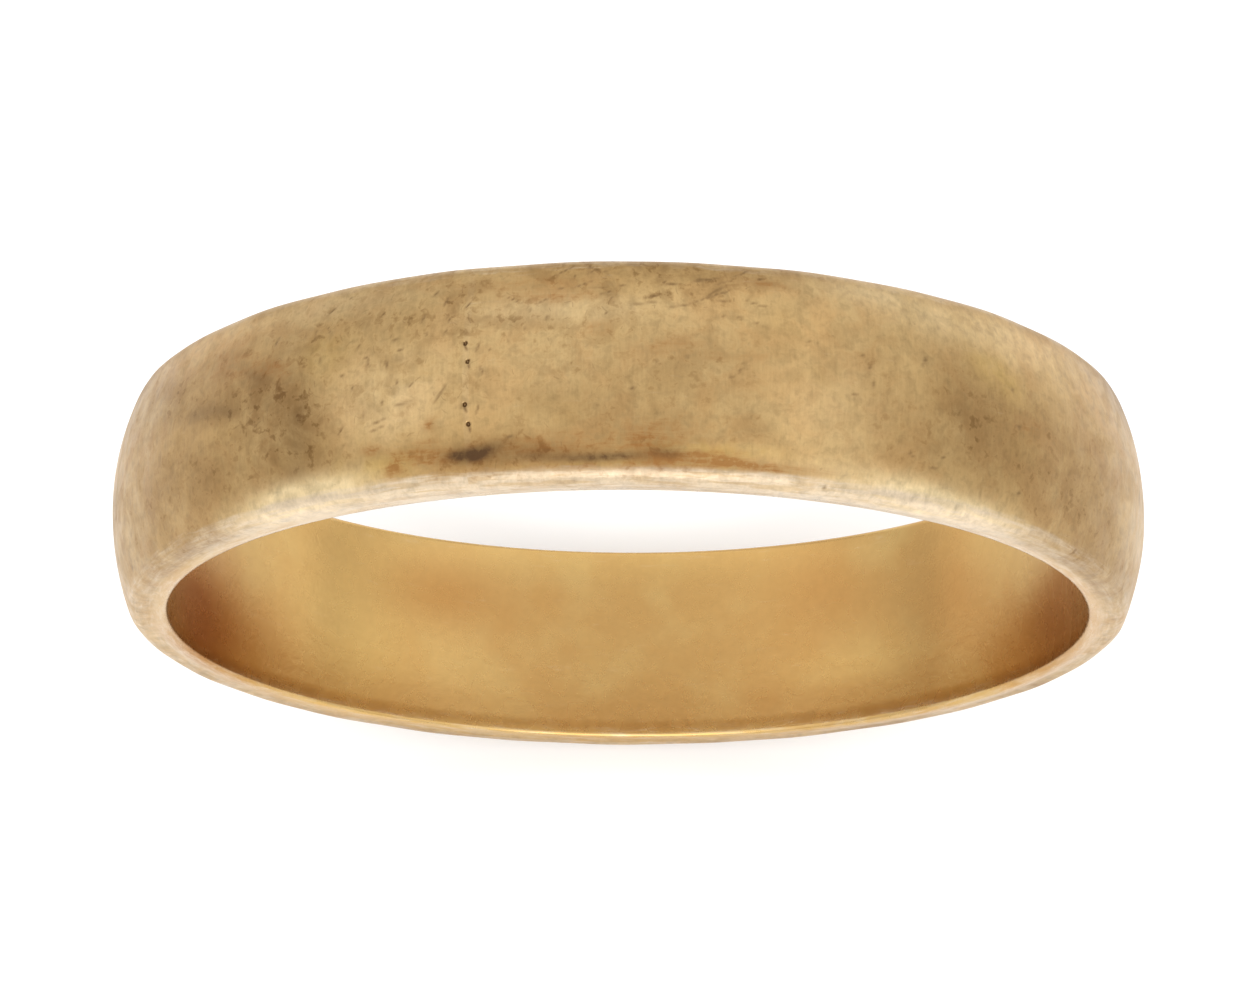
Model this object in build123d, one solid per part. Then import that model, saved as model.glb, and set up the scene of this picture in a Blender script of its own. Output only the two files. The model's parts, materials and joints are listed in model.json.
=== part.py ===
from build123d import *
import math
import os

# Plain wedding band, made as a goldsmith makes it: a strip of gold with a D section is bent round
# until its two ends meet, and a thin leaf of gold solder fills the joint between them.
#
# Frame, as jewellers draw a ring: the finger runs along Y, +Z is the top of the ring as it is worn,
# +X is to the right seen from the front (-Y). The origin is the centre of the finger hole, half way
# across the band's width.

# Driving dimensions, millimetres and degrees
finger_diameter = 17.3
band_width = 4.0
crown_thickness = 1.1
crown_rise = 0.42
outer_edge_radius = 0.3
inner_edge_radius = 0.1
seam_gap = 0.12
seam_from_top = 16.4

# Radii and the angle that follow from them
inner_radius = finger_diameter / 2
crown_radius = inner_radius + crown_thickness
half_width = band_width / 2
dome_radius = (half_width**2 + crown_rise**2) / (2 * crown_rise)
dome_centre_height = crown_radius - dome_radius
seam_angle = math.degrees(seam_gap / crown_radius)


def point_on(centre, radius, degrees):
    """Point of a circle, counted anticlockwise from the width direction."""
    turn = math.radians(degrees)
    return (centre[0] + radius * math.cos(turn), centre[1] + radius * math.sin(turn))


def d_section():
    """Half-round section: a shallow dome, rounded shoulders, upright sides, a flat inside.

    It is drawn with the width across and the height up, the height counted from the finger's axis.
    Each shoulder's arc touches the dome from within and meets the upright side smoothly.
    """
    shoulder_x = half_width - outer_edge_radius
    shoulder_reach = dome_radius - outer_edge_radius
    shoulder_z = dome_centre_height + math.sqrt(shoulder_reach**2 - shoulder_x**2)
    touch_angle = math.degrees(math.acos(shoulder_x / shoulder_reach))
    edge_x = half_width - inner_edge_radius
    edge_z = inner_radius + inner_edge_radius

    dome_centre = (0, dome_centre_height)
    right_shoulder = (shoulder_x, shoulder_z)
    left_shoulder = (-shoulder_x, shoulder_z)
    right_edge = (edge_x, edge_z)
    left_edge = (-edge_x, edge_z)
    dome_left = point_on(dome_centre, dome_radius, 180 - touch_angle)
    dome_right = point_on(dome_centre, dome_radius, touch_angle)

    outline = [
        ThreePointArc(dome_left, (0, crown_radius), dome_right),
        ThreePointArc(
            dome_right,
            point_on(right_shoulder, outer_edge_radius, touch_angle / 2),
            (half_width, shoulder_z),
        ),
        Line((half_width, shoulder_z), (half_width, edge_z)),
        ThreePointArc(
            (half_width, edge_z),
            point_on(right_edge, inner_edge_radius, -45),
            (edge_x, inner_radius),
        ),
        Line((edge_x, inner_radius), (-edge_x, inner_radius)),
        ThreePointArc(
            (-edge_x, inner_radius),
            point_on(left_edge, inner_edge_radius, 225),
            (-half_width, edge_z),
        ),
        Line((-half_width, edge_z), (-half_width, shoulder_z)),
        ThreePointArc(
            (-half_width, shoulder_z),
            point_on(left_shoulder, outer_edge_radius, 180 - touch_angle / 2),
            dome_left,
        ),
    ]
    return make_face(outline)


def bent_strip(start_from_top, sweep):
    """The D section carried round the finger's axis, from an angle left of the top."""
    section = Plane.YZ * d_section()
    placed = Rot(0, -start_from_top, 0) * section
    return revolve(placed, axis=Axis.Y, revolution_arc=sweep).solid()


def band():
    """Gold strip: everything but the joint, its ends facing each other across the solder."""
    return bent_strip(seam_from_top - seam_angle / 2, 360 - seam_angle)


def solder_seam():
    """Leaf of solder: the section of the band, as thick as the joint's gap."""
    return bent_strip(seam_from_top + seam_angle / 2, seam_angle)


os.makedirs("parts", exist_ok=True)
for node, make in {"band": band, "solder_seam": solder_seam}.items():
    piece = make()
    piece.label = node
    export_step(piece, f"parts/{node}.step")
    print(node, round(piece.volume, 2), "mm3", piece.bounding_box().size)
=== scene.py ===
"""A worn, plain gold wedding band, stood on its edge on a white table under soft studio light.

Lengths are in metres. The ring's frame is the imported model's: the finger runs along Y, +Z is the
top of the ring as worn, and angles round the ring are counted from the top towards +X.
"""
import json
import math
from types import SimpleNamespace

import bpy
import numpy as np
from mathutils import Matrix, Vector


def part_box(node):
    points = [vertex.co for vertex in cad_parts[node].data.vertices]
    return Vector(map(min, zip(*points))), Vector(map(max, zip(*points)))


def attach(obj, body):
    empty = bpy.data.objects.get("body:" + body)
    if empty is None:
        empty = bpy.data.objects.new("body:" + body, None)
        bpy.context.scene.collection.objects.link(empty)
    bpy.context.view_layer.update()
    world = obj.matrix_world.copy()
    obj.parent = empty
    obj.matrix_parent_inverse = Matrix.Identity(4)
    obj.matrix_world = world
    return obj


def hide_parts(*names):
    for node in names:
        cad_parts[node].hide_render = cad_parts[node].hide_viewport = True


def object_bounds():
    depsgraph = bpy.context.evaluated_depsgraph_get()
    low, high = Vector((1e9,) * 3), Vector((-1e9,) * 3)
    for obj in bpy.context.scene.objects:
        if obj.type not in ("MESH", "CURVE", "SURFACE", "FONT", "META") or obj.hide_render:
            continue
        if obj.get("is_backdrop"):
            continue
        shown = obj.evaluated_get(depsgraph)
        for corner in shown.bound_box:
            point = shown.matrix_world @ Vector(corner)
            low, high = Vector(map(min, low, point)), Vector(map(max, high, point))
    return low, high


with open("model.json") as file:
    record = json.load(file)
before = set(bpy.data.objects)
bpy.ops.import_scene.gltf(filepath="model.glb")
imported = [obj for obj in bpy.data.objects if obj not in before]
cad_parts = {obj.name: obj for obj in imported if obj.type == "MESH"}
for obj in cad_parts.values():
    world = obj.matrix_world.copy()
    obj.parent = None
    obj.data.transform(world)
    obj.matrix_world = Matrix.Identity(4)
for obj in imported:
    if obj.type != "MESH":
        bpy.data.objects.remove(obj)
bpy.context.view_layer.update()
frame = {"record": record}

MM = 0.001
DEGREE = math.pi / 180


# --- sizes, from the frame and the strip's own section -----------------------------------------

def mount(name):
    """The record's mount of that name."""
    return next(m for m in frame["record"]["mounts"] if m["name"] == name)


band_low, band_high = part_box("band")
seam_low, seam_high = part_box("solder_seam")

inner_radius = mount("finger_bore")["dims"]["r_mm"] * MM
crown_radius = band_high.z
half_width = band_high.y
crown_rise = 0.42 * MM
shoulder_radius = 0.3 * MM
inner_edge_radius = 0.1 * MM
seam_gap = 0.12 * MM

seam_centre = (seam_low + seam_high) / 2
seam_turn = math.atan2(seam_centre.x, seam_centre.z)
half_gap_turn = seam_gap / crown_radius / 2


# --- the D section ------------------------------------------------------------------------------

def arc(centre, radius, start, end, count):
    """Points and outward normals along a circle's arc: centre + radius * (cos t, sin t)."""
    t = np.linspace(start, end, count, endpoint=False)
    normal = np.stack([np.cos(t), np.sin(t)], axis=-1)
    return np.asarray(centre) + radius * normal, normal


def run(start, end, normal, count):
    """Points along a straight run, all with the same normal."""
    t = np.linspace(0, 1, count, endpoint=False)[:, None]
    points = np.asarray(start) * (1 - t) + np.asarray(end) * t
    return points, np.tile(normal, (count, 1)).astype(float)


def d_section(dome, shoulder, side, edge, inside):
    """The closed outline of the strip's section as (across, height) points with outward normals.

    The dome is a circle's arc through the crown; the shoulders are smaller arcs that touch it from
    within; then come the upright sides, the small inner edges and the flat inside. It starts at the
    front end of the dome and runs over the crown to the back. The arguments are points per stretch.
    """
    dome_radius = (half_width ** 2 + crown_rise ** 2) / (2 * crown_rise)
    dome_height = crown_radius - dome_radius
    shoulder_across = half_width - shoulder_radius
    reach = dome_radius - shoulder_radius
    shoulder_height = dome_height + math.sqrt(reach ** 2 - shoulder_across ** 2)
    touch = math.acos(shoulder_across / reach)
    edge_across = half_width - inner_edge_radius
    edge_height = inner_radius + inner_edge_radius
    back = (shoulder_across, shoulder_height)
    front = (-shoulder_across, shoulder_height)
    stretches = [
        arc((0, dome_height), dome_radius, math.pi - touch, touch, dome),
        arc(back, shoulder_radius, touch, 0, shoulder),
        run((half_width, shoulder_height), (half_width, edge_height), (1, 0), side),
        arc((edge_across, edge_height), inner_edge_radius, 0, -math.pi / 2, edge),
        run((edge_across, inner_radius), (-edge_across, inner_radius), (0, -1), inside),
        arc((-edge_across, edge_height), inner_edge_radius, -math.pi / 2, -math.pi, edge),
        run((-half_width, edge_height), (-half_width, shoulder_height), (-1, 0), side),
        arc(front, shoulder_radius, math.pi, math.pi - touch, shoulder),
    ]
    points = np.concatenate([s[0] for s in stretches])
    normals = np.concatenate([s[1] for s in stretches])
    return points, normals


def smooth(value, low, high):
    """0 below low and 1 above high, eased between them."""
    t = np.clip((value - low) / (high - low), 0, 1)
    return t * t * (3 - 2 * t)


# --- wear and painted light: dents, scratches, stains, painted shade and highlights by place ----

def wrapped(turn):
    """The same angle between half a turn back and half a turn on."""
    return np.angle(np.exp(1j * turn))


def from_mark(turn, across, degrees, middle, tilt):
    """How far each point is from a mark's middle, in mm along the tilted mark and across it."""
    along = wrapped(turn - degrees * DEGREE) * crown_radius / MM
    over = across / MM - middle
    c, s = math.cos(tilt * DEGREE), math.sin(tilt * DEGREE)
    return along * c + over * s, over * c - along * s


def spot(turn, across, place):
    """A soft ellipse, exp(-d^2), of a mark placed as (degrees, mm across, mm long, mm wide, tilt)."""
    degrees, middle, length, width, tilt = place
    x, y = from_mark(turn, across, degrees, middle, tilt)
    return np.exp(-((2 * x / length) ** 2) - (2 * y / width) ** 2)


def stroke(turn, across, place):
    """A scratch: full on a straight line and gone half its width away, with tapered ends."""
    degrees, middle, length, width, tilt = place
    x, y = from_mark(turn, across, degrees, middle, tilt)
    taper = np.clip(1 - (2 * x / length) ** 2, 0, 1)
    return taper * np.exp(-((y / (width / 2)) ** 2))


# Each mark: degrees from the top, mm towards the back, mm long, mm wide, tilt, strength.
# FILM is thin brown tarnish, STAIN dark dirt, RUST red-brown stain, BRIGHT yellow and CLEAN_AND_HIGHLIGHT
# pale metal where the film is rubbed off; the first two CLEAN_AND_HIGHLIGHT marks are also a painted
# highlight on the front rim.
# NICKED is a scratched place. INSIDE_SHADE and INSIDE_HIGHLIGHT are painted shade and painted reflections
# on the inside.
FILM = [
    (-45.5, 0.45, 2.4, 1.0, -24, 0.55),
    (-50, 0.15, 2.6, 0.40, -10, 0.6),
    (-42.5, 0.50, 1.8, 0.45, -30, 0.5),
    (-56, 0.75, 3.4, 0.9, -20, 0.45),
    (-41, 0.50, 1.4, 0.9, -30, 0.45),
    (-37, -0.60, 1.3, 2.2, 5, 1.1),
    (-34.5, -0.80, 0.9, 1.6, 5, 0.45),
    (-41, 1.10, 3.0, 1.0, 0, 0.3),
    (-57, -0.85, 3.6, 1.5, 0, 0.55),
    (-55, 0.00, 5.0, 2.6, 0, 0.28),
    (-47, -1.15, 4.0, 1.2, 0, 0.45),
    (-63, 0.75, 3.0, 1.2, 0, 0.5),
    (-70, -1.40, 3.0, 1.2, 0, 0.4),
    (-76, 1.50, 3.0, 1.2, 0, 0.5),
    (-24, 1.00, 5.0, 1.1, -4, 0.4),
    (-29.9, 1.58, 2.5, 0.4, 0, 0.4),
    (-9, 1.50, 3.5, 0.5, 0, 0.2),
    (8, 1.70, 4.5, 0.5, 0, 0.5),
    (-10, 1.00, 1.0, 0.6, 0, 0.25),
    (-3.1, -0.92, 0.9, 0.7, 0, 0.4),
    (-8.3, -0.62, 0.7, 0.5, 0, 0.45),
    (3, -1.10, 1.6, 0.8, 0, 0.4),
    (7, 0.10, 2.6, 1.2, 0, 0.35),
    (12.7, -1.11, 0.7, 0.5, 20, 0.45),
    (12, -0.75, 0.7, 0.7, 20, 0.3),
    (25, 0.25, 1.4, 1.8, 0, 0.45),
    (29, -0.95, 2.2, 1.4, 0, 0.45),
    (36.5, -0.30, 1.6, 1.7, 0, 0.5),
    (41, -0.60, 2.6, 2.0, 0, 0.5),
    (55, -1.05, 4.6, 1.5, 0, 0.6),
    (61, -0.40, 4.6, 2.4, 0, 0.4),
    (47, 0.20, 3.6, 1.2, 0, 0.35),
    (38, 0.90, 1.6, 0.9, 0, 0.2),
    (70, -1.75, 3.5, 1.0, 0, 0.6),
    (75, 1.75, 3.5, 1.0, 0, 0.9),
    (-77, 1.80, 3.0, 0.8, 0, 0.7),
    (-58, -1.98, 4.5, 0.5, 0, 0.6),
    (56, -1.98, 4.5, 0.5, 0, 0.6),
    (-16.2, -1.50, 1.5, 0.42, 0, 0.9),
    (-12, -1.46, 2.2, 0.44, 2, 0.7),
    (-25, -1.45, 2.6, 0.50, 6, 0.45),
    (-29.5, -1.45, 1.6, 0.45, 8, 0.6),
    (4, -1.45, 1.4, 0.45, 0, 0.7),
    (-3, -1.58, 3.0, 0.30, -3, 0.8),
    (0, -1.84, 5.0, 0.28, 0, 0.6),
]
STAIN = [
    (-17.0, -1.49, 0.56, 0.20, -2, 1.1),
    (-15.2, -1.47, 0.50, 0.20, 8, 0.8),
    (-13.4, -1.36, 0.55, 0.20, 10, 0.4),
    (-12, -1.52, 1.8, 0.24, 0, 0.25),
    (-7.4, -1.61, 1.4, 0.16, -2, 0.32),
    (-3.2, -1.62, 1.3, 0.14, 2, 0.45),
    (-0.4, -1.61, 1.0, 0.13, 4, 0.45),
    (4.3, -1.55, 0.6, 0.17, 0, 0.45),
    (-52, 0.20, 0.8, 0.26, -10, 0.22),
    (-47.2, 0.08, 0.8, 0.22, -24, 0.22),
    (-42.5, 0.55, 0.7, 0.22, -30, 0.2),
    (-36.2, -0.42, 0.35, 0.5, 0, 0.2),
    (-36.2, -0.95, 0.35, 0.35, 0, 0.2),
    (-36.9, -1.35, 0.45, 0.28, 0, 0.18),
    (36.3, -0.22, 0.4, 0.3, 0, 0.15),
    (33.2, -1.05, 0.5, 0.3, 0, 0.12),
]
RUST = [
    (-9, -1.42, 3.4, 0.42, 3, 0.6),
    (3, -1.32, 1.3, 0.80, 10, 0.55),
    (3.6, -1.60, 0.9, 0.16, 0, 0.7),
    (8, -1.58, 1.6, 0.20, 3, 0.8),
    (10.4, -1.66, 1.0, 0.12, 0, 1.0),
    (12.5, -1.69, 4.0, 0.15, 1, 0.45),
    (16.2, -1.71, 1.2, 0.10, 0, 0.6),
    (-5, -1.74, 3.0, 0.14, 0, 0.35),
    (-27.2, -1.24, 0.4, 0.2, 0, 0.6),
    (-24.9, -1.56, 0.4, 0.30, 40, 0.7),
    (-22.5, -1.42, 0.9, 0.35, 0, 0.5),
    (-20.5, -1.24, 0.4, 0.2, 0, 0.4),
    (-18.5, -1.50, 1.6, 0.3, 0, 0.4),
    (-20.5, -0.92, 0.25, 0.2, 30, 0.9),
    (-6.9, 1.25, 1.5, 0.24, 0, 0.55),
    (-9.7, 1.52, 2.0, 0.3, 0, 0.4),
    (-3.0, 0.62, 0.45, 0.25, 0, 0.6),
    (14.9, 1.60, 0.6, 0.16, 0, 0.7),
    (4.7, 0.30, 1.4, 0.30, 5, 0.38),
    (10.8, 0.16, 1.3, 0.18, 5, 0.3),
    (-39.5, 0.60, 0.8, 0.24, -20, 0.7),
    (-45, 0.85, 2.4, 0.8, -18, 0.4),
    (46.9, -0.20, 0.8, 0.4, 0, 0.4),
]
BRIGHT = [
    (-27, -1.50, 1.8, 0.40, 0, 0.9),
    (42.3, 0.64, 1.3, 0.6, -20, 0.7),
    (9, -1.47, 2.2, 0.24, 0, 0.7),
    (-33, 0.70, 0.9, 0.9, 0, 0.4),
    (-1, -1.73, 2.4, 0.10, 0, 0.6),
]
CLEAN_AND_HIGHLIGHT = [
    # The first two are pale wings on the front rim: rubbed metal, and a painted highlight on it.
    (-37.5, -1.82, 3.0, 0.62, 3, 1.7),
    (36, -1.86, 4.2, 0.50, -3, 1.4),
    (-25, -0.40, 2.2, 1.8, 0, 0.35),
    (22, -0.60, 2.4, 2.0, 0, 0.2),
    (-33, 1.60, 3.2, 0.6, 0, 0.3),
    (40, 1.40, 5.0, 0.9, 0, 0.4),
    (27, 1.72, 2.6, 0.5, 0, 0.45),
    (-6, 1.00, 3.0, 0.5, 0, 0.4),
    (-7, 0.30, 7.0, 2.4, 0, 0.12),
]
NICKED = [
    (-24, -0.45, 2.2, 1.3, 0, 0.4),
    (-22, 1.10, 6.0, 1.3, -5, 0.6),
    (3, 1.40, 4.0, 0.8, 0, 0.6),
    (-40, -0.10, 1.6, 1.6, 0, 0.5),
    (-15, -1.50, 3.0, 0.5, 0, 0.5),
    (-8, 0.20, 8.0, 4.4, 0, 0.42),
    (-38, -0.50, 2.4, 2.2, 0, 0.5),
]
# Painted shade on the inside: dark corners at about 107 degrees either side, darker bands along the front
# lip, darker patches on the far inner wall.
INSIDE_SHADE = [
    (-154, 0.80, 4.5, 1.7, 0, 0.5),
    (152, 0.60, 2.6, 2.4, 0, 0.4),
    (130, 0.30, 2.6, 1.8, 0, 0.4),
    (-106, -1.10, 4.6, 2.1, 0, 1.2),
    (107, -1.10, 3.6, 1.9, 0, 0.7),
    (-148, -1.50, 5.0, 0.8, 0, 0.3),
    (150, -1.45, 5.0, 0.8, 0, 0.35),
    (180, -1.50, 6.0, 0.7, 0, 0.15),
]
# Painted reflections on the inside: bright patches on the far inner wall and bright strips along the
# inner edges.
INSIDE_HIGHLIGHT = [
    (-140, -0.50, 3.6, 5.0, 0, 0.9),
    (147, -0.90, 3.0, 1.8, 0, 0.5),
    (180, 1.80, 9.0, 0.7, 0, 0.4),
    (180, -1.85, 12.0, 0.3, 0, 0.5),
]


def strew(seed, count, length, width, strength):
    """Random marks of one kind round the part of the band that is away from the top."""
    draw = np.random.default_rng(seed)
    degrees = 180 + 98 * draw.uniform(-1, 1, count)
    across = 1.8 * draw.uniform(-1, 1, count)
    lengths = length * draw.uniform(0.5, 1.5, count)
    widths = width * draw.uniform(0.5, 1.5, count)
    tilts = 25 * draw.uniform(-1, 1, count)
    strengths = strength * draw.uniform(0.5, 1.5, count)
    return list(zip(degrees, across, lengths, widths, tilts, strengths))


# The back edge darkened brown along its whole length, then marks of each kind on the rest of the ring
FILM += [(degrees, 1.94, 4.0, 0.36, 0, 0.5) for degrees in range(-80, 81, 20)]
FILM += strew(21, 60, 3.0, 1.1, 0.4)
STAIN += strew(22, 16, 0.6, 0.16, 0.4)
RUST += strew(23, 16, 1.2, 0.3, 0.5)
BRIGHT += strew(24, 10, 1.4, 0.5, 0.5)
CLEAN_AND_HIGHLIGHT += strew(25, 16, 3.0, 1.0, 0.4)
NICKED += strew(26, 14, 2.6, 1.2, 0.5)


def marks(turn, across, places):
    """The sum of the soft spots at those places, each with its own strength."""
    return sum(place[-1] * spot(turn, across, place[:-1]) for place in places)


def scatter(seed, count, middle, spread, length, width, tilt, tilt_spread):
    """Random short scratches round a place: positions, lengths, widths and tilts from one seed."""
    draw = np.random.default_rng(seed)
    degrees = middle[0] + spread[0] * draw.uniform(-1, 1, count)
    across = middle[1] + spread[1] * draw.uniform(-1, 1, count)
    lengths = length * draw.uniform(0.5, 1.5, count)
    widths = width * draw.uniform(0.7, 1.3, count)
    tilts = tilt + tilt_spread * draw.uniform(-1, 1, count)
    return list(zip(degrees, across, lengths, widths, tilts))


# Scratches: degrees from the top, mm towards the back, mm long, mm wide, tilt
SCRATCHES = [
    (-19.2, -0.42, 0.45, 0.045, 52),
    (-23.2, -0.50, 0.42, 0.040, 5),
    (-26.2, -0.76, 0.44, 0.035, 15),
    (-26.4, -0.88, 0.36, 0.035, 12),
    (-25.2, 0.22, 0.20, 0.040, 80),
    (-27.5, 0.32, 0.26, 0.040, 85),
    (-27.8, -0.60, 0.20, 0.040, 85),
    (-22.4, -0.20, 0.16, 0.040, 40),
    (-16.5, 0.38, 0.18, 0.050, -65),
    (-16.1, 0.03, 0.16, 0.045, -75),
    (-15.2, 0.36, 0.22, 0.040, 72),
    (-16.5, -0.72, 0.18, 0.050, -65),
    (-16.1, -1.07, 0.16, 0.045, -75),
    (-15.2, -0.74, 0.22, 0.040, 72),
    (9.2, 1.38, 0.52, 0.040, 35),
    (8.2, 1.60, 0.60, 0.040, 12),
    (4.5, 1.48, 0.50, 0.035, 8),
    (2.5, 1.22, 0.32, 0.040, 10),
    (32.2, 0.55, 0.30, 0.040, 60),
    (21.4, -1.90, 0.10, 0.060, 0),
    (1.9, 1.09, 0.50, 0.030, 8),
    (5.3, 1.05, 0.45, 0.028, 10),
    (8.8, 1.28, 0.95, 0.030, 24),
    (-8.1, 0.84, 0.08, 0.07, 0),
    (6.1, 0.11, 0.08, 0.07, 0),
    (25.4, 0.23, 0.09, 0.07, 0),
    (24.6, 0.42, 0.10, 0.06, 0),
    (46.2, -1.36, 0.08, 0.07, 0),
]
# Finer ones at random: near the back edge, left, middle and right, then on the rest of the ring
SCRATCHES += scatter(7, 12, (-28, 1.0), (12, 0.5), 0.22, 0.04, 80, 50)
SCRATCHES += scatter(17, 16, (-14, 1.1), (18, 0.6), 0.20, 0.024, 60, 90)
SCRATCHES += scatter(27, 20, (2, 1.5), (14, 0.35), 0.35, 0.026, 0, 30)
SCRATCHES += scatter(29, 10, (-24, -0.3), (7, 0.8), 0.16, 0.030, 45, 90)
SCRATCHES += scatter(19, 26, (16, -0.1), (34, 1.4), 0.13, 0.040, 45, 90)
SCRATCHES += scatter(11, 40, (180, 0), (110, 1.7), 0.5, 0.05, 90, 90)
DENTS = scatter(13, 90, (0, 0), (180, 1.7), 0.9, 0.6, 0, 90)

# Pinholes in the solder: parts of the half gap to the right of the joint's middle, mm to the back
PINHOLE_RADIUS = 0.037 * MM
PINHOLES = [(-0.4, 0.46), (0.45, 0.12), (-0.4, -0.64), (0.45, -0.98)]


def grooves(turn, across):
    """How deep in a scratch each point is, from 0 to 1."""
    depth = np.zeros(np.broadcast(turn, across).shape)
    for place in SCRATCHES:
        depth = np.maximum(depth, stroke(turn, across, place))
    return depth


def pinholes(turn, across):
    """How deep in a pinhole each point is: exp(-d^4) of its distance in pinhole radii."""
    depth = np.zeros(np.broadcast(turn, across).shape)
    for side, middle in PINHOLES:
        along = wrapped(turn - seam_turn - side * half_gap_turn) * crown_radius
        distance = np.hypot(along, across - middle * MM) / PINHOLE_RADIUS
        depth = np.maximum(depth, np.exp(-(distance ** 4)))
    return depth


# How far the worn surface leaves the true section
OUT_OF_ROUND = 0.02 * MM
UNEVENNESS = 0.004 * MM
DENT_DEPTH = 0.006 * MM
SCRATCH_DEPTH = 0.01 * MM
PINHOLE_DEPTH = 0.05 * MM


def relief(turn, across, outside):
    """Height of the worn surface over the true section, in metres.

    A slow wave, two to the turn, leaves the ring a little out of round. Two slanting waves, 17 and 29
    to the turn, make the surface uneven. Dents, scratches and pinholes are taken out of the outside.
    """
    out_of_round = OUT_OF_ROUND * np.cos(2 * turn - 0.6)
    waves = np.sin(17 * turn + 900 * across) + np.sin(29 * turn - 1400 * across + 1)
    cut = DENT_DEPTH * sum(spot(turn, across, place) for place in DENTS)
    cut = cut + SCRATCH_DEPTH * grooves(turn, across) + PINHOLE_DEPTH * pinholes(turn, across)
    return out_of_round * np.sign(outside - 0.5) + outside * (UNEVENNESS * waves - cut)


# --- the pieces ---------------------------------------------------------------------------------

def loop_of_metal(name, turns, section, outside_share):
    """A closed length of D-section metal: the outline carried round the finger's axis.

    A point of the section at (across, height), moved out along its normal by the relief, goes to
    (height sin turn, across, height cos turn). Each end is closed by a fan round its middle.
    """
    points, normals = section
    turn = turns[:, None]
    across = points[None, :, 0]
    height = points[None, :, 1]
    lift = relief(turn, across, outside_share[None, :])
    across = across + lift * normals[None, :, 0]
    height = height + lift * normals[None, :, 1]
    grid = np.stack([height * np.sin(turn), across, height * np.cos(turn)], axis=-1)

    rows, columns = grid.shape[:2]
    corner = np.arange(rows * columns).reshape(rows, columns)
    after = np.roll(corner, -1, axis=1)
    walls = np.stack([corner[:-1], corner[1:], after[1:], after[:-1]], axis=-1).reshape(-1, 4)
    first, last = rows * columns, rows * columns + 1
    start_fan = np.stack([np.full(columns, first), corner[0], after[0]], axis=-1)
    end_fan = np.stack([np.full(columns, last), after[-1], corner[-1]], axis=-1)
    ends = np.stack([grid[0].mean(axis=0), grid[-1].mean(axis=0)])

    mesh = bpy.data.meshes.new(name)
    vertices = np.concatenate([grid.reshape(-1, 3), ends])
    faces = walls.tolist() + start_fan.tolist() + end_fan.tolist()
    mesh.from_pydata(vertices.tolist(), [], faces)
    mesh.shade_smooth()
    mesh.set_sharp_from_angle(angle=50 * DEGREE)

    flat_across = np.broadcast_to(points[None, :, 0], lift.shape)
    outer = np.broadcast_to(outside_share[None, :], lift.shape)
    paint = {
        "film": outer * marks(turn, flat_across, FILM),
        "stain": outer * (marks(turn, flat_across, STAIN) + 0.6 * pinholes(turn, flat_across)),
        "rust": outer * marks(turn, flat_across, RUST),
        "bright": outer * marks(turn, flat_across, BRIGHT),
        "clean_and_highlight": outer * marks(turn, flat_across, CLEAN_AND_HIGHLIGHT),
        "nicked": outer * marks(turn, flat_across, NICKED),
        # Painted shade and painted reflections on the inside
        "inside_shade": (1 - outer) * marks(turn, flat_across, INSIDE_SHADE),
        "inside_highlight": (1 - outer) * marks(turn, flat_across, INSIDE_HIGHLIGHT),
        # The pale edge mask: rubbed metal with a painted highlight, strongest at the front near the top.
        "edge": edge_wear_and_highlight(turn, points[None, :, 0], points[None, :, 1]),
        "groove": outer * np.maximum(grooves(turn, flat_across), pinholes(turn, flat_across)),
        "outside": outer,
    }
    for label, values in paint.items():
        layer = mesh.attributes.new(label, "FLOAT", "POINT")
        layer.data.foreach_set("value", np.append(values.ravel(), [0, 0]).astype(np.float32))

    round_mm = np.broadcast_to(turn * crown_radius / MM, lift.shape)
    lie = np.stack([round_mm, flat_across / MM, height / MM], axis=-1).reshape(-1, 3)
    layer = mesh.attributes.new("lie", "FLOAT_VECTOR", "POINT")
    layer.data.foreach_set("vector", np.concatenate([lie, lie[:2]]).ravel().astype(np.float32))

    piece = bpy.data.objects.new(name, mesh)
    bpy.context.scene.collection.objects.link(piece)
    return piece


def share_outside(section):
    """1 on the dome and shoulders, 0 on the flat inside, eased over the upright sides."""
    inside_end = inner_radius + inner_edge_radius
    return smooth(section[0][:, 1], inside_end, inside_end + 0.3 * MM)


def edge_wear_and_highlight(turn, across, height):
    """How pale an edge is painted, as rubbed metal with a painted highlight on it: nothing on the dome
    and the inside, most at the front near the top.

    It rises over the shoulder and over the last of the inside, and is full on the upright sides.
    """
    over_shoulder = smooth(np.abs(across), half_width - 0.34 * MM, half_width - 0.10 * MM)
    over_lip = smooth(np.abs(across), half_width - 0.45 * MM, half_width - 0.10 * MM)
    on_inside = 1 - smooth(height, inner_radius, inner_radius + inner_edge_radius)
    rubbed = over_shoulder * (1 - on_inside) + 0.8 * over_lip * on_inside
    # Painted highlight: strongest on the front edge near the top, weaker at the back and round the ring.
    front = 1 - 0.7 * smooth(across, -0.5 * MM, 0.5 * MM)
    from_top = wrapped(turn) / (50 * DEGREE)
    return rubbed * front * (0.3 + 0.7 * np.exp(-(from_top ** 4)))


def make_band():
    """The strip, from one side of the joint the long way round, with finer steps near the top."""
    steps = 760
    crowding = 0.5
    k = np.linspace(0, 1, steps + 1)
    eased = k - crowding * np.sin(2 * math.pi * k) / (2 * math.pi)
    turns = seam_turn + half_gap_turn + eased * (2 * math.pi - 2 * half_gap_turn)
    section = d_section(dome=86, shoulder=9, side=4, edge=3, inside=12)
    return loop_of_metal("gold_band", turns, section, share_outside(section))


def make_seam():
    """The leaf of solder between the strip's ends."""
    turns = np.linspace(seam_turn - half_gap_turn, seam_turn + half_gap_turn, 13)
    section = d_section(dome=360, shoulder=24, side=8, edge=4, inside=40)
    return loop_of_metal("solder_leaf", turns, section, share_outside(section))


# --- materials ----------------------------------------------------------------------------------

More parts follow.
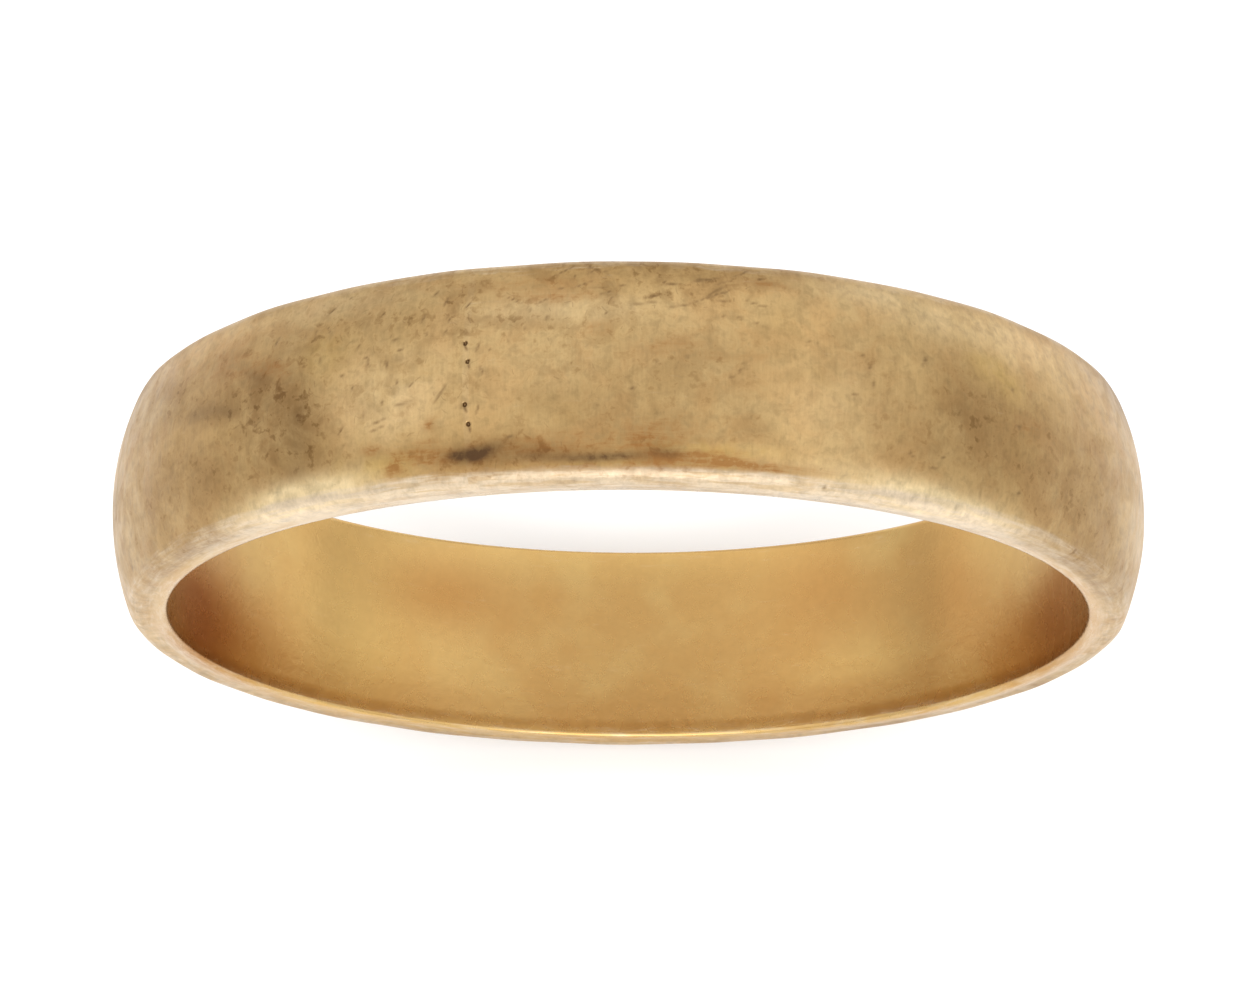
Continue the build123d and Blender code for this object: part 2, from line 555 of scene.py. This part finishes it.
class Finish:
    """A material being built: short calls add nodes and return their output sockets."""

    def __init__(self, name):
        self.material = bpy.data.materials.new(name)
        self.material.use_nodes = True
        self.tree = self.material.node_tree
        self.shader = self.tree.nodes["Principled BSDF"]

    def node(self, kind, settings=(), inputs=()):
        """A new node with these properties set and these inputs linked or set."""
        made = self.tree.nodes.new(kind)
        for key, value in dict(settings).items():
            setattr(made, key, value)
        for key, value in dict(inputs).items():
            self.put(made.inputs[key], value)
        return made

    def put(self, socket, value):
        """Link another node's output to the socket, or set the socket to a plain value."""
        if isinstance(value, bpy.types.NodeSocket):
            self.tree.links.new(value, socket)
        else:
            socket.default_value = value

    def math(self, operation, a, b=0.0, c=0.0, clamp=False):
        made = self.node("ShaderNodeMath", {"operation": operation, "use_clamp": clamp})
        for socket, value in zip(made.inputs, (a, b, c)):
            self.put(socket, value)
        return made.outputs[0]

    def painted(self, label):
        return self.node("ShaderNodeAttribute", {"attribute_name": label}).outputs["Fac"]

    def lie(self):
        """Where a point lies on the strip: mm round the ring, mm across it, mm from the axis."""
        return self.node("ShaderNodeAttribute", {"attribute_name": "lie"}).outputs["Vector"]

    def place(self):
        return self.node("ShaderNodeTexCoord").outputs["Object"]

    def scaled(self, vector, scale):
        return self.node("ShaderNodeMapping", {}, {"Vector": vector, "Scale": scale}).outputs["Vector"]

    def noise(self, vector, scale=1.0, detail=3.0, roughness=0.5, distortion=0.0):
        made = self.node(
            "ShaderNodeTexNoise",
            {"noise_dimensions": "3D"},
            {"Vector": vector, "Scale": scale, "Detail": detail,
             "Roughness": roughness, "Distortion": distortion},
        )
        return made.outputs["Fac"]

    def ramp(self, value, low, high, to_low=0.0, to_high=1.0):
        made = self.node(
            "ShaderNodeMapRange",
            {"interpolation_type": "SMOOTHSTEP"},
            {"Value": value, "From Min": low, "From Max": high, "To Min": to_low, "To Max": to_high},
        )
        return made.outputs["Result"]

    def broken(self, label, noise, low, high, least, most):
        """A painted mark broken up by a noise, from the least to the most of its strength."""
        share = self.ramp(noise, low, high, least, most)
        return self.math("MULTIPLY", self.painted(label), share, clamp=True)

    def mix(self, amount, a, b):
        made = self.node("ShaderNodeMix", {"data_type": "RGBA", "clamp_factor": True})
        self.put(made.inputs["Factor"], amount)
        for name, value in (("A", a), ("B", b)):
            socket = next(s for s in made.inputs if s.name == name and s.type == "RGBA")
            self.put(socket, value)
        return next(s for s in made.outputs if s.type == "RGBA")

    def shade(self, tint, amount):
        """The colour made darker or lighter by a factor."""
        return self.node("ShaderNodeHueSaturation", {}, {"Color": tint, "Value": amount}).outputs["Color"]

    def bump(self, height, strength, distance, normal=None):
        inputs = {"Height": height, "Strength": strength, "Distance": distance}
        if normal is not None:
            inputs["Normal"] = normal
        return self.node("ShaderNodeBump", {}, inputs).outputs["Normal"]

    def warped(self, vector, scale, reach):
        """The vector pushed about by up to half the reach, by noise."""
        drift = self.node("ShaderNodeTexNoise", {}, {"Vector": vector, "Scale": scale, "Detail": 2.0})
        push = self.node("ShaderNodeVectorMath", {"operation": "MULTIPLY_ADD"})
        self.put(push.inputs[0], drift.outputs["Color"])
        self.put(push.inputs[1], (reach, reach, 0))
        self.put(push.inputs[2], vector)
        return push.outputs["Vector"]

    def nicks(self, lie, per_mm, length, width, share):
        """Short scars: each cell of a random scatter may hold one, bent and turned its own way.

        Length and width are in mm; share is how many of the cells hold one, from 0 to 1.
        """
        cell = self.node(
            "ShaderNodeTexVoronoi",
            {"voronoi_dimensions": "2D", "feature": "F1"},
            {"Vector": lie, "Scale": per_mm},
        )
        away = self.node("ShaderNodeVectorMath", {"operation": "SUBTRACT"})
        self.put(away.inputs[0], lie)
        self.put(away.inputs[1], cell.outputs["Position"])
        draw = self.node("ShaderNodeSeparateColor", {}, {"Color": cell.outputs["Color"]})
        angle = self.math("MULTIPLY_ADD", draw.outputs["Red"], 2.6, 0.3)
        turned = self.node(
            "ShaderNodeVectorRotate",
            {"rotation_type": "Z_AXIS"},
            {"Vector": away.outputs["Vector"], "Angle": angle},
        )
        part = self.node("ShaderNodeSeparateXYZ", {}, {"Vector": turned.outputs["Vector"]})
        x, y = part.outputs["X"], part.outputs["Y"]
        bend = self.math("MULTIPLY", self.math("MULTIPLY", x, x), 1.5)
        beside = self.math("ABSOLUTE", self.math("SUBTRACT", y, bend))
        on_line = self.ramp(beside, width / 2, width / 8)
        reach = self.math("MULTIPLY_ADD", draw.outputs["Green"], length * 0.35, length * 0.15)
        in_length = self.math("DIVIDE", self.math("ABSOLUTE", x), reach)
        within = self.ramp(in_length, 1.0, 0.6)
        there = self.ramp(self.math("SUBTRACT", share, draw.outputs["Blue"]), 0.0, 0.3)
        return self.math("MULTIPLY", self.math("MULTIPLY", on_line, within), there)


def colour(red, green, blue):
    """An opaque colour."""
    return (red, green, blue, 1.0)


GOLD = colour(0.49, 0.33, 0.145)
GOLD_DEEP = colour(0.43, 0.275, 0.11)
GOLD_WARM = colour(0.49, 0.305, 0.125)
GOLD_BRIGHT = colour(0.60, 0.41, 0.13)
# Pale rubbed gold, also used as painted highlight colours on the front rim
GOLD_CLEAN_AND_HIGHLIGHT = colour(0.75, 0.59, 0.34)
GOLD_EDGE_AND_HIGHLIGHT = colour(0.67, 0.54, 0.38)
GOLD_INSIDE = colour(0.505, 0.30, 0.104)
GOLD_INSIDE_PALE = colour(0.55, 0.36, 0.135)
# Colours of the painted shade and painted reflections on the inside
GOLD_INSIDE_SHADE = colour(0.33, 0.12, 0.022)
GOLD_INSIDE_HIGHLIGHT = colour(0.68, 0.45, 0.16)
FILM_BROWN = colour(0.165, 0.085, 0.024)
RUST_BROWN = colour(0.27, 0.115, 0.03)
STAIN_DARK = colour(0.065, 0.030, 0.010)
GROOVE_DARK = colour(0.13, 0.07, 0.03)


def grain_of(f):
    """The noises that the finish is made of, from broad clouding down to fine combing.

    Streaks and rim lines are noises drawn out along the strip, so they run round the ring.
    """
    wavy = f.warped(f.lie(), 1.5, 0.10)
    return SimpleNamespace(
        broad=f.noise(f.place(), scale=420, detail=3, roughness=0.5),
        cloud=f.noise(f.place(), scale=1100, detail=7, roughness=0.65, distortion=0.6),
        mottle=f.noise(f.place(), scale=1900, detail=6, roughness=0.6, distortion=0.4),
        patchy=f.noise(f.place(), scale=5200, detail=5, roughness=0.6, distortion=0.3),
        combed=f.noise(f.scaled(f.place(), (21000, 2400, 21000)), detail=2, roughness=0.6),
        streaks=f.noise(f.scaled(wavy, (1.5, 13, 13)), detail=5, roughness=0.65, distortion=0.4),
        rim_lines=f.noise(f.scaled(wavy, (0.8, 9, 9)), detail=3, roughness=0.6),
    )


def brown_film(f, grain, clean_and_highlight):
    """Thin tarnish: the painted film broken into clouds and specks, and gone on rubbed metal and under
    the painted highlights on the front rim.

    Nicked places hold more of it. An amount m is softened to m / (1 + 0.35 m), so that heavy film
    doesn't end in a flat patch.
    """
    nicked = f.painted("nicked")
    film = f.math("MULTIPLY", f.painted("film"), f.ramp(grain.cloud, 0.32, 0.68, 0.45, 1.45))
    uneven = f.math("MULTIPLY_ADD", nicked, 0.6, 0.3)
    film = f.math("MULTIPLY_ADD", f.ramp(grain.mottle, 0.44, 0.64), uneven, film)
    specks = f.ramp(grain.patchy, 0.52, 0.67)
    film = f.math("MULTIPLY_ADD", specks, f.math("ADD", film, nicked), film)
    film = f.math("DIVIDE", film, f.math("MULTIPLY_ADD", film, 0.35, 1.0))
    uncleaned = f.math("MULTIPLY_ADD", clean_and_highlight, -0.85, 1.0)
    return f.math("MULTIPLY", film, f.math("MULTIPLY", f.painted("outside"), uncleaned))


def red_brown_stain(f, grain):
    """The painted rust colour, patchy and drawn out into streaks."""
    rust = f.math("MULTIPLY", f.painted("rust"), f.ramp(grain.patchy, 0.34, 0.62, 0.35, 1.4))
    return f.math("MULTIPLY", rust, f.ramp(grain.streaks, 0.36, 0.6, 0.5, 1.1), clamp=True)


def ragged_edge_wear_and_highlight(f, grain):
    """The painted edges, pale from rubbing and from a painted highlight, ragged along the streaks and
    crossed by duller rim lines.
    """
    ragged = f.math("MULTIPLY_ADD", f.math("SUBTRACT", grain.streaks, 0.5), 1.1, f.painted("edge"))
    return f.math("MULTIPLY", f.ramp(ragged, 0.1, 0.75), f.ramp(grain.rim_lines, 0.40, 0.54, 0.55, 1.0))


def scars_in(f):
    """Faint random nicks and pores of the outside, thickest in nicked places, and the cut grooves."""
    few = f.math("MULTIPLY_ADD", f.painted("nicked"), 0.5, 0.05)
    ragged = f.warped(f.lie(), 9.0, 0.05)
    fine_nicks = f.nicks(ragged, 5.0, 0.20, 0.028, few)
    long_nicks = f.nicks(ragged, 2.4, 0.55, 0.032, f.math("MULTIPLY", few, 0.6))
    pores = f.nicks(ragged, 2.9, 0.08, 0.07, 0.2)
    scars = f.math("MAXIMUM", f.math("MAXIMUM", fine_nicks, long_nicks), pores)
    scars = f.math("MULTIPLY", scars, f.math("MULTIPLY", f.painted("outside"), 0.4))
    return f.math("MAXIMUM", scars, f.painted("groove"))


def bare_gold(f, grain, clean_and_highlight, edge, paleness):
    """The metal's colour: warm and deep clouds outside, painted reflections and painted shade inside,
    pale edges with a painted highlight.

    A fine grain, most of it outside, makes it darker and lighter.
    """
    outside = f.painted("outside")
    bright = f.broken("bright", grain.mottle, 0.35, 0.6, 0.3, 1.2)
    inside_shade = f.broken("inside_shade", grain.broad, 0.3, 0.65, 0.7, 1.1)

    outer = f.mix(f.ramp(grain.broad, 0.35, 0.65), GOLD, GOLD_DEEP)
    outer = f.mix(f.ramp(grain.cloud, 0.45, 0.62, 0.0, 0.8), outer, GOLD_WARM)
    outer = f.mix(f.math("MULTIPLY", bright, 0.8), outer, GOLD_BRIGHT)
    # Pale rubbed patches; the two front-rim wings are painted highlights too
    outer = f.mix(f.math("MULTIPLY", clean_and_highlight, 0.9), outer, GOLD_CLEAN_AND_HIGHLIGHT)
    inner = f.mix(f.ramp(grain.broad, 0.4, 0.62), GOLD_INSIDE, GOLD_INSIDE_PALE)
    # Painted reflections, then painted shade, on the inside
    inner = f.mix(f.painted("inside_highlight"), inner, GOLD_INSIDE_HIGHLIGHT)
    inner = f.mix(inside_shade, inner, GOLD_INSIDE_SHADE)
    metal = f.mix(outside, inner, outer)
    # Pale edges: rubbed metal with a painted highlight
    metal = f.mix(edge, metal, GOLD_EDGE_AND_HIGHLIGHT)
    metal = f.mix(paleness, metal, GOLD_EDGE_AND_HIGHLIGHT)

    fine = f.math("MULTIPLY_ADD", grain.combed, 0.26, f.math("MULTIPLY", grain.patchy, 0.95))
    fine = f.math("MULTIPLY_ADD", grain.mottle, 0.35, fine)
    fine = f.math("MULTIPLY_ADD", f.math("SUBTRACT", fine, 0.78), f.ramp(outside, 0, 1, 0.16, 1), 1.0)
    return f.shade(metal, fine)


def satin(f, grain, film):
    """Roughness: satin outside, a little smoother on the edges, and smoothest on the inside."""
    rough = f.math("MULTIPLY_ADD", film, 0.1, f.ramp(grain.mottle, 0.3, 0.7, 0.33, 0.43))
    rough = f.math("MULTIPLY_ADD", f.painted("edge"), -0.06, rough)
    worn = f.math("MULTIPLY_ADD", grain.mottle, 0.12, 0.21)
    inputs = {"Factor": f.painted("outside"), "A": worn, "B": rough}
    return f.node("ShaderNodeMix", {"data_type": "FLOAT"}, inputs).outputs["Result"]


def worn_surface(f, grain, scars):
    """Fine relief: soft unevenness, combed lines, rubs along the edges, cut scars and fine pitting."""
    soft = f.bump(grain.mottle, 0.1, 0.03 * MM)
    lines = f.bump(f.math("MULTIPLY", grain.combed, f.painted("outside")), 0.15, 0.01 * MM, soft)
    rubs = f.bump(f.math("MULTIPLY", grain.streaks, f.painted("edge")), 0.5, 0.02 * MM, lines)
    cuts = f.bump(scars, -0.6, 0.02 * MM, rubs)
    return f.bump(grain.patchy, 0.2, 0.015 * MM, cuts)


def worn_gold(name, paleness):
    """Satin yellow gold, thinly and unevenly tarnished, with rust-brown stains and dark scars.

    The edges are rubbed bright along their length and carry a painted highlight, and the inside is
    polished by the finger and carries painted shade and painted reflections.
    Paleness from 0 to 1 takes the metal towards the colour of a pale edge with its painted highlight.
    """
    f = Finish(name)
    grain = grain_of(f)
    clean_and_highlight = f.broken("clean_and_highlight", grain.cloud, 0.3, 0.6, 0.6, 1.1)
    stain = f.broken("stain", grain.patchy, 0.28, 0.66, 0.6, 1.3)
    film = brown_film(f, grain, clean_and_highlight)
    rust = red_brown_stain(f, grain)
    scars = scars_in(f)

    colours = bare_gold(f, grain, clean_and_highlight, ragged_edge_wear_and_highlight(f, grain), paleness)
    colours = f.mix(f.math("MULTIPLY", film, 0.62), colours, FILM_BROWN)
    colours = f.mix(f.math("MULTIPLY", rust, 0.78), colours, RUST_BROWN)
    colours = f.mix(f.math("MULTIPLY", stain, 0.92), colours, STAIN_DARK)
    colours = f.mix(f.math("MULTIPLY", scars, 0.7), colours, GROOVE_DARK)
    bareness = f.math("MULTIPLY_ADD", stain, -0.15, f.math("MULTIPLY_ADD", film, -0.1, 1.0))

    f.put(f.shader.inputs["Base Color"], colours)
    f.put(f.shader.inputs["Metallic"], bareness)
    f.put(f.shader.inputs["Roughness"], satin(f, grain, film))
    f.put(f.shader.inputs["Normal"], worn_surface(f, grain, scars))
    return f.material


# --- studio -------------------------------------------------------------------------------------

# The room's brightness at the horizon, at the windows and overhead
HORIZON = 0.80
WINDOWS = 1.45
OVERHEAD = 1.12


def grey(level):
    return colour(level, level, level)


def plain_surface(name, shade, glow):
    """A matt surface of one colour, with a faint white glow of its own."""
    f = Finish(name)
    f.put(f.shader.inputs["Emission Color"], colour(1, 1, 1))
    f.put(f.shader.inputs["Emission Strength"], glow)
    f.put(f.shader.inputs["Base Color"], shade)
    f.put(f.shader.inputs["Roughness"], 0.8)
    f.put(f.shader.inputs["Specular IOR Level"], 0.2)
    return f.material


def make_table(height):
    """A plain white table top."""
    reach = 3.0
    mesh = bpy.data.meshes.new("table")
    sides = [(-reach, -reach), (reach, -reach), (reach, reach), (-reach, reach)]
    corners = [(x, y, height) for x, y in sides]
    mesh.from_pydata(corners, [], [(0, 1, 2, 3)])
    mesh.materials.append(plain_surface("white_table", colour(0.95, 0.95, 0.95), 0.1))
    table = bpy.data.objects.new("table", mesh)
    bpy.context.scene.collection.objects.link(table)
    table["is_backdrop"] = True


def soft_box(name, azimuth, elevation, distance, size, brightness):
    """A square softbox aimed at the ring. Azimuth 0 is the front, -Y, and 90 the right, +X.

    Its power is brightness * pi * area, so the brightness is the radiance of its face.
    """
    light = bpy.data.lights.new(name, "AREA")
    light.shape = "SQUARE"
    light.size = size
    light.energy = brightness * math.pi * size * size
    a, e = azimuth * DEGREE, elevation * DEGREE
    back = Vector((math.sin(a) * math.cos(e), -math.cos(a) * math.cos(e), math.sin(e)))
    box = bpy.data.objects.new(name, light)
    box.rotation_mode = "QUATERNION"
    box.rotation_quaternion = back.to_track_quat("Z", "Y")
    box.location = back * distance
    box.visible_camera = False
    bpy.context.scene.collection.objects.link(box)


def make_room():
    """White seen directly; for light and reflections a room that is dim at the horizon.

    It is brightest 37 degrees up, where the windows are, and dimmer again overhead.
    """
    world = bpy.data.worlds.new("room")
    world.use_nodes = True
    tree = world.node_tree
    tree.nodes.clear()
    add = tree.nodes.new
    place = add("ShaderNodeTexCoord")
    split = add("ShaderNodeSeparateXYZ")
    sky = add("ShaderNodeValToRGB")
    room = add("ShaderNodeBackground")
    seen = add("ShaderNodeBackground")
    path = add("ShaderNodeLightPath")
    choose = add("ShaderNodeMixShader")
    out = add("ShaderNodeOutputWorld")
    stops = sky.color_ramp.elements
    stops[0].position = 0.05
    stops[0].color = grey(HORIZON)
    stops[1].position = 1.0
    stops[1].color = grey(OVERHEAD)
    windows = stops.new(0.6)
    windows.color = grey(WINDOWS)
    seen.inputs["Color"].default_value = colour(1, 1, 1)
    link = tree.links.new
    link(place.outputs["Generated"], split.inputs["Vector"])
    link(split.outputs["Z"], sky.inputs["Fac"])
    link(sky.outputs["Color"], room.inputs["Color"])
    link(path.outputs["Is Camera Ray"], choose.inputs["Fac"])
    link(room.outputs["Background"], choose.inputs[1])
    link(seen.outputs["Background"], choose.inputs[2])
    link(choose.outputs["Shader"], out.inputs["Surface"])
    bpy.context.scene.world = world
    bpy.context.scene.view_settings.view_transform = "Standard"


def make_camera():
    """A long lens, steeply above the ring and in front of it."""
    elevation = 73.2 * DEGREE
    azimuth = 0.97 * DEGREE
    roll = 0.65 * DEGREE
    distance = 9.53 * crown_radius
    frame_rise = 0.0424 * crown_radius
    camera = bpy.data.cameras.new("camera")
    camera.sensor_width = 36.0
    camera.lens = 140.4
    camera.clip_start = 0.005
    camera.clip_end = 5.0
    back = Vector((
        math.sin(azimuth) * math.cos(elevation),
        -math.cos(azimuth) * math.cos(elevation),
        math.sin(elevation),
    ))
    turned = back.to_track_quat("Z", "Y").to_matrix()
    up = turned @ Vector((0, 1, 0))
    body = bpy.data.objects.new("camera", camera)
    place = Matrix.Translation(back * distance + up * frame_rise)
    body.matrix_world = place @ turned.to_4x4() @ Matrix.Rotation(-roll, 4, "Z")
    bpy.context.scene.collection.objects.link(body)
    bpy.context.scene.camera = body


# --- assembly -----------------------------------------------------------------------------------

band = make_band()
band.data.materials.append(worn_gold("worn_gold", 0.0))
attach(band, "root")
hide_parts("band")

seam = make_seam()
seam.data.materials.append(worn_gold("worn_solder", 0.05))
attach(seam, "root")
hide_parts("solder_seam")

make_table(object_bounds()[0].z)
make_room()
soft_box("front_box", azimuth=0, elevation=35, distance=0.35, size=0.3, brightness=1.4)
make_camera()
